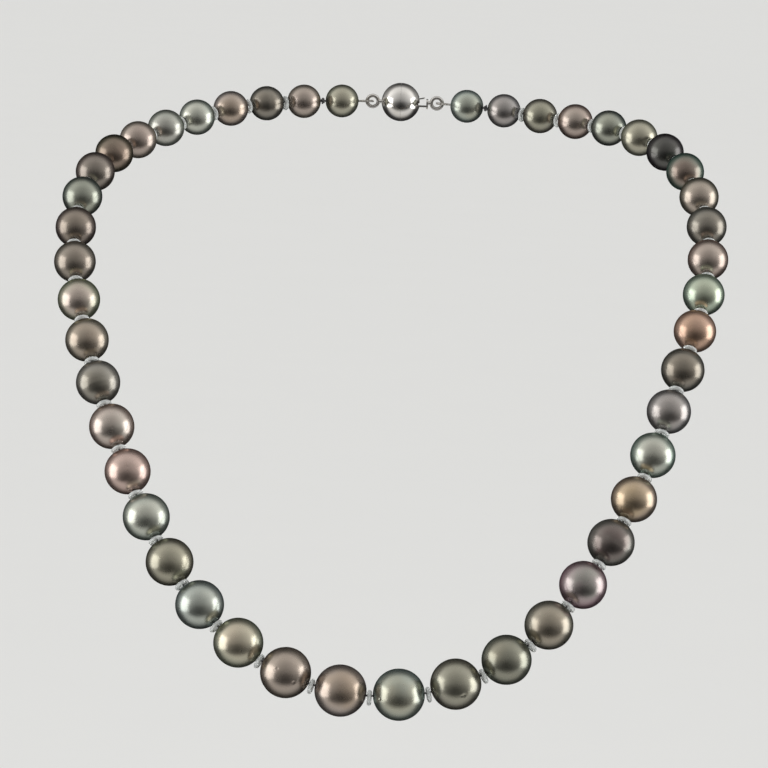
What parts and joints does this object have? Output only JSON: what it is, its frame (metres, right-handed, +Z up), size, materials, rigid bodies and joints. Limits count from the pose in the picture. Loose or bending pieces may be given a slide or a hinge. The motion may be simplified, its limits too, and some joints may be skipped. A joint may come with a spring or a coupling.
{
  "type": "graduated pearl necklace",
  "caption": "Graduated strand of dark round pearls with clear rings between them, closed at the nape by a ball clasp with a spring tongue.",
  "frame": {"origin": "the point of the clasp ball that rests on the nape of the neck", "axes": "+X across the neck to the wearer's left, -Y to the front, +Z up"},
  "size_m": [0.1493, 0.1423, 0.1235],
  "materials": {
    "nacre": "satin nacre, dark grey-green to aubergine",
    "silicone": "clear silicone",
    "thread": "twisted beading silk",
    "gimp": "fine coiled wire",
    "white_gold": "polished white gold"
  },
  "bodies": {
    "clasp_ball": {"clasp_ball_ring_side": "white_gold", "clasp_ball_slot_side": "white_gold", "clasp_throat": "white_gold", "clasp_ball_ring": "white_gold", "beading_thread": "thread", "spacer_rings": "silicone"},
    "strand_section_01": {"pearl_01": "nacre", "pearl_02": "nacre", "gimp_ball_end": "gimp", "knot_ball_end": "thread"},
    "strand_section_02": {"pearl_03": "nacre", "pearl_04": "nacre", "pearl_05": "nacre"},
    "strand_section_03": {"pearl_06": "nacre", "pearl_07": "nacre", "pearl_08": "nacre"},
    "strand_section_04": {"pearl_09": "nacre", "pearl_10": "nacre", "pearl_11": "nacre"},
    "strand_section_05": {"pearl_12": "nacre", "pearl_13": "nacre", "pearl_14": "nacre", "pearl_15": "nacre"},
    "strand_section_06": {"pearl_16": "nacre", "pearl_17": "nacre", "pearl_18": "nacre", "pearl_19": "nacre"},
    "strand_section_07": {"pearl_20": "nacre", "pearl_21": "nacre"},
    "strand_section_08": {"pearl_22": "nacre", "pearl_23": "nacre"},
    "strand_section_09": {"pearl_24": "nacre", "pearl_25": "nacre"},
    "strand_section_10": {"pearl_26": "nacre", "pearl_27": "nacre"},
    "strand_section_11": {"pearl_28": "nacre", "pearl_29": "nacre", "pearl_30": "nacre", "pearl_31": "nacre"},
    "strand_section_12": {"pearl_32": "nacre", "pearl_33": "nacre", "pearl_34": "nacre", "pearl_35": "nacre"},
    "strand_section_13": {"pearl_36": "nacre", "pearl_37": "nacre", "pearl_38": "nacre"},
    "strand_section_14": {"pearl_39": "nacre", "pearl_40": "nacre", "pearl_41": "nacre"},
    "strand_section_15": {"pearl_42": "nacre", "pearl_43": "nacre", "pearl_44": "nacre"},
    "strand_section_16": {"pearl_45": "nacre", "pearl_46": "nacre", "gimp_tongue_end": "gimp", "knot_tongue_end": "thread"},
    "clasp_tongue": {"clasp_tongue": "white_gold", "clasp_tongue_ring": "white_gold"},
    "clasp_spring_leaf": {"clasp_spring_leaf": "white_gold"}
  },
  "joints": [
    {"name": "strand_hang", "type": "hinge", "parent": "clasp_ball", "child": "strand_section_01", "pos_m": [-0.0066, 0.0045, 0], "axis": [0.1846, -0.9828, 0], "range_deg": [0, 88.9], "deforming": ["beading_thread", "spacer_rings"]},
    {"name": "gap_02_opening", "type": "hinge", "parent": "strand_section_01", "child": "strand_section_02", "pos_m": [-0.02698, -0.00066, -0.00046], "axis": [-0.1033, 0.372, -0.9225], "range_deg": [0, 16.4]},
    {"name": "gap_05_opening", "type": "hinge", "parent": "strand_section_02", "child": "strand_section_03", "pos_m": [-0.0504, -0.01605, -0.00479], "axis": [0.1048, 0.2103, -0.972], "range_deg": [0, 23.3]},
    {"name": "gap_08_opening", "type": "hinge", "parent": "strand_section_03", "child": "strand_section_04", "pos_m": [-0.06632, -0.0399, -0.01203], "axis": [-0.5395, 0.4845, -0.6886], "range_deg": [0, 30.5]},
    {"name": "gap_11_opening", "type": "hinge", "parent": "strand_section_04", "child": "strand_section_05", "pos_m": [-0.07043, -0.06569, -0.02798], "axis": [-0.5868, 0.4985, -0.638], "range_deg": [0, 28.9]},
    {"name": "gap_15_opening", "type": "hinge", "parent": "strand_section_05", "child": "strand_section_06", "pos_m": [-0.06078, -0.09361, -0.0593], "axis": [-0.6311, 0.4788, -0.6103], "range_deg": [0, 12.5]},
    {"name": "gap_19_opening", "type": "hinge", "parent": "strand_section_06", "child": "strand_section_07", "pos_m": [-0.04153, -0.11625, -0.0938], "axis": [-0.0836, 0.8173, -0.5701], "range_deg": [0, 26.5]},
    {"name": "gap_21_opening", "type": "hinge", "parent": "strand_section_07", "child": "strand_section_08", "pos_m": [-0.02434, -0.12457, -0.10788], "axis": [-0.0028, 0.861, -0.5086], "range_deg": [0, 28.7]},
    {"name": "front_opening", "type": "hinge", "parent": "strand_section_08", "child": "strand_section_09", "pos_m": [-0.00096, -0.12809, -0.11398], "axis": [-0.0021, 0.8651, -0.5016], "range_deg": [0, 30.7]},
    {"name": "gap_25_opening", "type": "hinge", "parent": "strand_section_09", "child": "strand_section_10", "pos_m": [0.02278, -0.1252, -0.10911], "axis": [-0.0151, 0.88, -0.4748], "range_deg": [0, 27.4]},
    {"name": "gap_27_opening", "type": "hinge", "parent": "strand_section_10", "child": "strand_section_11", "pos_m": [0.04022, -0.11734, -0.09513], "axis": [0.2077, 0.7508, -0.6271], "range_deg": [0, 19.8]},
    {"name": "gap_31_opening", "type": "hinge", "parent": "strand_section_11", "child": "strand_section_12", "pos_m": [0.05956, -0.09441, -0.06096], "axis": [0.6445, 0.4891, -0.5878], "range_deg": [0, 16.6]},
    {"name": "gap_35_opening", "type": "hinge", "parent": "strand_section_12", "child": "strand_section_13", "pos_m": [0.06954, -0.06601, -0.03013], "axis": [0.2635, 0.6124, -0.7454], "range_deg": [0, 19.1]},
    {"name": "gap_38_opening", "type": "hinge", "parent": "strand_section_13", "child": "strand_section_14", "pos_m": [0.067, -0.04138, -0.01195], "axis": [0.5226, 0.5462, -0.6546], "range_deg": [0, 30.3]},
    {"name": "gap_41_opening", "type": "hinge", "parent": "strand_section_14", "child": "strand_section_15", "pos_m": [0.052, -0.0177, -0.00307], "axis": [0.2871, 0.4606, -0.8399], "range_deg": [0, 28.2]},
    {"name": "gap_44_opening", "type": "hinge", "parent": "strand_section_15", "child": "strand_section_16", "pos_m": [0.02849, -0.00181, -0.00106], "axis": [-0.0649, 0.0117, -0.9978], "range_deg": [0, 19.4]},
    {"name": "tongue_swing", "type": "hinge", "parent": "strand_section_16", "child": "clasp_tongue", "pos_m": [0.00845, 0.0045, 0], "axis": [0, 0.1566, -0.9877], "range_deg": [0, 14.5]},
    {"name": "leaf_press", "type": "hinge", "parent": "clasp_tongue", "child": "clasp_spring_leaf", "pos_m": [-0.0026, 0.0045, -0.0005], "axis": [0, 1, 0], "range_deg": [0, 9], "stiffness_Nm_per_rad": 0.01}
  ],
  "couplings": [
    {"joint": "gap_02_opening", "follows": "strand_hang", "ratio": 0.18448},
    {"joint": "gap_05_opening", "follows": "strand_hang", "ratio": 0.26209},
    {"joint": "gap_08_opening", "follows": "strand_hang", "ratio": 0.34308},
    {"joint": "gap_11_opening", "follows": "strand_hang", "ratio": 0.32508},
    {"joint": "gap_15_opening", "follows": "strand_hang", "ratio": 0.14061},
    {"joint": "gap_19_opening", "follows": "strand_hang", "ratio": 0.29809},
    {"joint": "gap_21_opening", "follows": "strand_hang", "ratio": 0.32283},
    {"joint": "gap_25_opening", "follows": "front_opening", "ratio": 0.89251},
    {"joint": "gap_27_opening", "follows": "front_opening", "ratio": 0.64495},
    {"joint": "gap_31_opening", "follows": "front_opening", "ratio": 0.54072},
    {"joint": "gap_35_opening", "follows": "front_opening", "ratio": 0.62215},
    {"joint": "gap_38_opening", "follows": "front_opening", "ratio": 0.98697},
    {"joint": "gap_41_opening", "follows": "front_opening", "ratio": 0.91857},
    {"joint": "gap_44_opening", "follows": "front_opening", "ratio": 0.63192},
    {"joint": "tongue_swing", "follows": "front_opening", "ratio": 0.47231}
  ]
}
